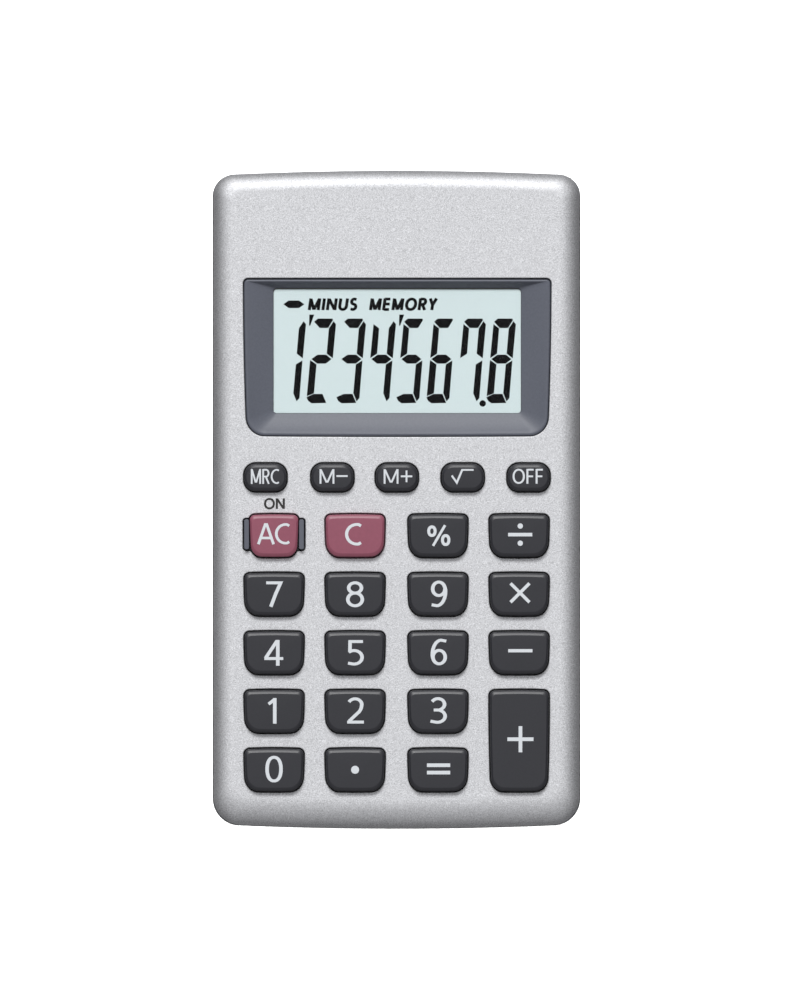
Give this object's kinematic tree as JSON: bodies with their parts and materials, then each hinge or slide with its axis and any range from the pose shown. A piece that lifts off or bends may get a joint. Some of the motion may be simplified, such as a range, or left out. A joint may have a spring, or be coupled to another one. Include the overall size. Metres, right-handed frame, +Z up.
{
  "type": "pocket calculator",
  "caption": "Wedge-shaped pocket calculator in silver and charcoal with a recessed segment display, rounded push keys over a rubber keypad, and a sliding battery cover.",
  "frame": {"origin": "on the flat back, under the middle of the front panel", "axes": "+Z up out of the flat back, +Y towards the display end, +X to the right when the keys are read"},
  "size_m": [0.057, 0.103, 0.0187],
  "materials": {
    "silver_paint": "moulded plastic under fine metallic silver paint, satin",
    "charcoal_plastic": "fine-textured moulded plastic",
    "grey_plastic": "smooth moulded plastic, satin",
    "key_plastic": "smooth moulded plastic, semi-gloss",
    "red_key_plastic": "smooth moulded plastic, semi-gloss",
    "clear_plastic": "clear polished acrylic",
    "display_film": "polariser film, semi-matt",
    "glass": "clear float glass",
    "reflector_foil": "matt silvery foil",
    "white_plastic": "natural white moulding",
    "conductive_rubber": "matt",
    "keypad_rubber": "matt silicone rubber",
    "board_laminate": "solder-masked laminate",
    "epoxy": "cured potting resin",
    "can_metal": "drawn can, satin",
    "cell_jacket": "metallised printed sleeve over the can",
    "nickel": "nickel-plated spring steel",
    "screw_steel": "blackened steel",
    "red_wire": "insulated wire",
    "black_wire": "insulated wire"
  },
  "bodies": {
    "casing": {"front_case": "silver_paint", "rear_case": "charcoal_plastic", "display_bezel": "grey_plastic", "display_window": "clear_plastic", "lcd_front_film": "display_film", "lcd_front_glass": "glass", "lcd_rear_glass": "glass", "lcd_reflector": "reflector_foil", "contact_strip": "conductive_rubber", "lcd_holder": "white_plastic", "rubber_keypad": "keypad_rubber", "circuit_board": "board_laminate", "chip_cover": "epoxy", "capacitor": "can_metal", "resistor": "white_plastic", "cell": "cell_jacket", "positive_contact": "nickel", "negative_contact": "nickel", "positive_lead": "red_wire", "negative_lead": "black_wire", "key_guard_left": "grey_plastic", "key_guard_right": "grey_plastic", "case_screw_1": "screw_steel", "board_screw_1": "screw_steel", "case_screw_2": "screw_steel", "board_screw_2": "screw_steel", "case_screw_3": "screw_steel", "board_screw_3": "screw_steel", "case_screw_4": "screw_steel", "board_screw_4": "screw_steel"},
    "cover": {"battery_cover": "charcoal_plastic"},
    "key_all_clear_cap": {"key_all_clear": "red_key_plastic"},
    "key_clear_cap": {"key_clear": "red_key_plastic"},
    "key_percent_cap": {"key_percent": "key_plastic"},
    "key_divide_cap": {"key_divide": "key_plastic"},
    "key_7_cap": {"key_7": "key_plastic"},
    "key_8_cap": {"key_8": "key_plastic"},
    "key_9_cap": {"key_9": "key_plastic"},
    "key_multiply_cap": {"key_multiply": "key_plastic"},
    "key_4_cap": {"key_4": "key_plastic"},
    "key_5_cap": {"key_5": "key_plastic"},
    "key_6_cap": {"key_6": "key_plastic"},
    "key_minus_cap": {"key_minus": "key_plastic"},
    "key_1_cap": {"key_1": "key_plastic"},
    "key_2_cap": {"key_2": "key_plastic"},
    "key_3_cap": {"key_3": "key_plastic"},
    "key_plus_cap": {"key_plus": "key_plastic"},
    "key_0_cap": {"key_0": "key_plastic"},
    "key_point_cap": {"key_point": "key_plastic"},
    "key_equals_cap": {"key_equals": "key_plastic"},
    "key_memory_recall_cap": {"key_memory_recall": "key_plastic"},
    "key_memory_minus_cap": {"key_memory_minus": "key_plastic"},
    "key_memory_plus_cap": {"key_memory_plus": "key_plastic"},
    "key_root_cap": {"key_root": "key_plastic"},
    "key_off_cap": {"key_off": "key_plastic"}
  },
  "joints": [
    {"name": "key_all_clear_press", "type": "slide", "parent": "casing", "child": "key_all_clear_cap", "axis": [0, 0.0927, -0.9957], "range_m": [0, 0.001], "stiffness_N_per_m": 600, "springref_m": -0.0003, "deforming": ["rubber_keypad"]},
    {"name": "key_clear_press", "type": "slide", "parent": "casing", "child": "key_clear_cap", "axis": [0, 0.0927, -0.9957], "range_m": [0, 0.001], "stiffness_N_per_m": 600, "springref_m": -0.0003, "deforming": ["rubber_keypad"]},
    {"name": "key_percent_press", "type": "slide", "parent": "casing", "child": "key_percent_cap", "axis": [0, 0.0927, -0.9957], "range_m": [0, 0.001], "stiffness_N_per_m": 600, "springref_m": -0.0003, "deforming": ["rubber_keypad"]},
    {"name": "key_divide_press", "type": "slide", "parent": "casing", "child": "key_divide_cap", "axis": [0, 0.0927, -0.9957], "range_m": [0, 0.001], "stiffness_N_per_m": 600, "springref_m": -0.0003, "deforming": ["rubber_keypad"]},
    {"name": "key_7_press", "type": "slide", "parent": "casing", "child": "key_7_cap", "axis": [0, 0.0927, -0.9957], "range_m": [0, 0.001], "stiffness_N_per_m": 600, "springref_m": -0.0003, "deforming": ["rubber_keypad"]},
    {"name": "key_8_press", "type": "slide", "parent": "casing", "child": "key_8_cap", "axis": [0, 0.0927, -0.9957], "range_m": [0, 0.001], "stiffness_N_per_m": 600, "springref_m": -0.0003, "deforming": ["rubber_keypad"]},
    {"name": "key_9_press", "type": "slide", "parent": "casing", "child": "key_9_cap", "axis": [0, 0.0927, -0.9957], "range_m": [0, 0.001], "stiffness_N_per_m": 600, "springref_m": -0.0003, "deforming": ["rubber_keypad"]},
    {"name": "key_multiply_press", "type": "slide", "parent": "casing", "child": "key_multiply_cap", "axis": [0, 0.0927, -0.9957], "range_m": [0, 0.001], "stiffness_N_per_m": 600, "springref_m": -0.0003, "deforming": ["rubber_keypad"]},
    {"name": "key_4_press", "type": "slide", "parent": "casing", "child": "key_4_cap", "axis": [0, 0.0927, -0.9957], "range_m": [0, 0.001], "stiffness_N_per_m": 600, "springref_m": -0.0003, "deforming": ["rubber_keypad"]},
    {"name": "key_5_press", "type": "slide", "parent": "casing", "child": "key_5_cap", "axis": [0, 0.0927, -0.9957], "range_m": [0, 0.001], "stiffness_N_per_m": 600, "springref_m": -0.0003, "deforming": ["rubber_keypad"]},
    {"name": "key_6_press", "type": "slide", "parent": "casing", "child": "key_6_cap", "axis": [0, 0.0927, -0.9957], "range_m": [0, 0.001], "stiffness_N_per_m": 600, "springref_m": -0.0003, "deforming": ["rubber_keypad"]},
    {"name": "key_minus_press", "type": "slide", "parent": "casing", "child": "key_minus_cap", "axis": [0, 0.0927, -0.9957], "range_m": [0, 0.001], "stiffness_N_per_m": 600, "springref_m": -0.0003, "deforming": ["rubber_keypad"]},
    {"name": "key_1_press", "type": "slide", "parent": "casing", "child": "key_1_cap", "axis": [0, 0.0927, -0.9957], "range_m": [0, 0.001], "stiffness_N_per_m": 600, "springref_m": -0.0003, "deforming": ["rubber_keypad"]},
    {"name": "key_2_press", "type": "slide", "parent": "casing", "child": "key_2_cap", "axis": [0, 0.0927, -0.9957], "range_m": [0, 0.001], "stiffness_N_per_m": 600, "springref_m": -0.0003, "deforming": ["rubber_keypad"]},
    {"name": "key_3_press", "type": "slide", "parent": "casing", "child": "key_3_cap", "axis": [0, 0.0927, -0.9957], "range_m": [0, 0.001], "stiffness_N_per_m": 600, "springref_m": -0.0003, "deforming": ["rubber_keypad"]},
    {"name": "key_plus_press", "type": "slide", "parent": "casing", "child": "key_plus_cap", "axis": [0, 0.0927, -0.9957], "range_m": [0, 0.001], "stiffness_N_per_m": 600, "springref_m": -0.0003, "deforming": ["rubber_keypad"]},
    {"name": "key_0_press", "type": "slide", "parent": "casing", "child": "key_0_cap", "axis": [0, 0.0927, -0.9957], "range_m": [0, 0.001], "stiffness_N_per_m": 600, "springref_m": -0.0003, "deforming": ["rubber_keypad"]},
    {"name": "key_point_press", "type": "slide", "parent": "casing", "child": "key_point_cap", "axis": [0, 0.0927, -0.9957], "range_m": [0, 0.001], "stiffness_N_per_m": 600, "springref_m": -0.0003, "deforming": ["rubber_keypad"]},
    {"name": "key_equals_press", "type": "slide", "parent": "casing", "child": "key_equals_cap", "axis": [0, 0.0927, -0.9957], "range_m": [0, 0.001], "stiffness_N_per_m": 600, "springref_m": -0.0003, "deforming": ["rubber_keypad"]},
    {"name": "key_memory_recall_press", "type": "slide", "parent": "casing", "child": "key_memory_recall_cap", "axis": [0, 0.0927, -0.9957], "range_m": [0, 0.001], "stiffness_N_per_m": 600, "springref_m": -0.0003, "deforming": ["rubber_keypad"]},
    {"name": "key_memory_minus_press", "type": "slide", "parent": "casing", "child": "key_memory_minus_cap", "axis": [0, 0.0927, -0.9957], "range_m": [0, 0.001], "stiffness_N_per_m": 600, "springref_m": -0.0003, "deforming": ["rubber_keypad"]},
    {"name": "key_memory_plus_press", "type": "slide", "parent": "casing", "child": "key_memory_plus_cap", "axis": [0, 0.0927, -0.9957], "range_m": [0, 0.001], "stiffness_N_per_m": 600, "springref_m": -0.0003, "deforming": ["rubber_keypad"]},
    {"name": "key_root_press", "type": "slide", "parent": "casing", "child": "key_root_cap", "axis": [0, 0.0927, -0.9957], "range_m": [0, 0.001], "stiffness_N_per_m": 600, "springref_m": -0.0003, "deforming": ["rubber_keypad"]},
    {"name": "key_off_press", "type": "slide", "parent": "casing", "child": "key_off_cap", "axis": [0, 0.0927, -0.9957], "range_m": [0, 0.001], "stiffness_N_per_m": 600, "springref_m": -0.0003, "deforming": ["rubber_keypad"]},
    {"name": "cover_slide", "type": "slide", "parent": "casing", "child": "cover", "axis": [0, 1, 0], "range_m": [0, 0.018]}
  ]
}
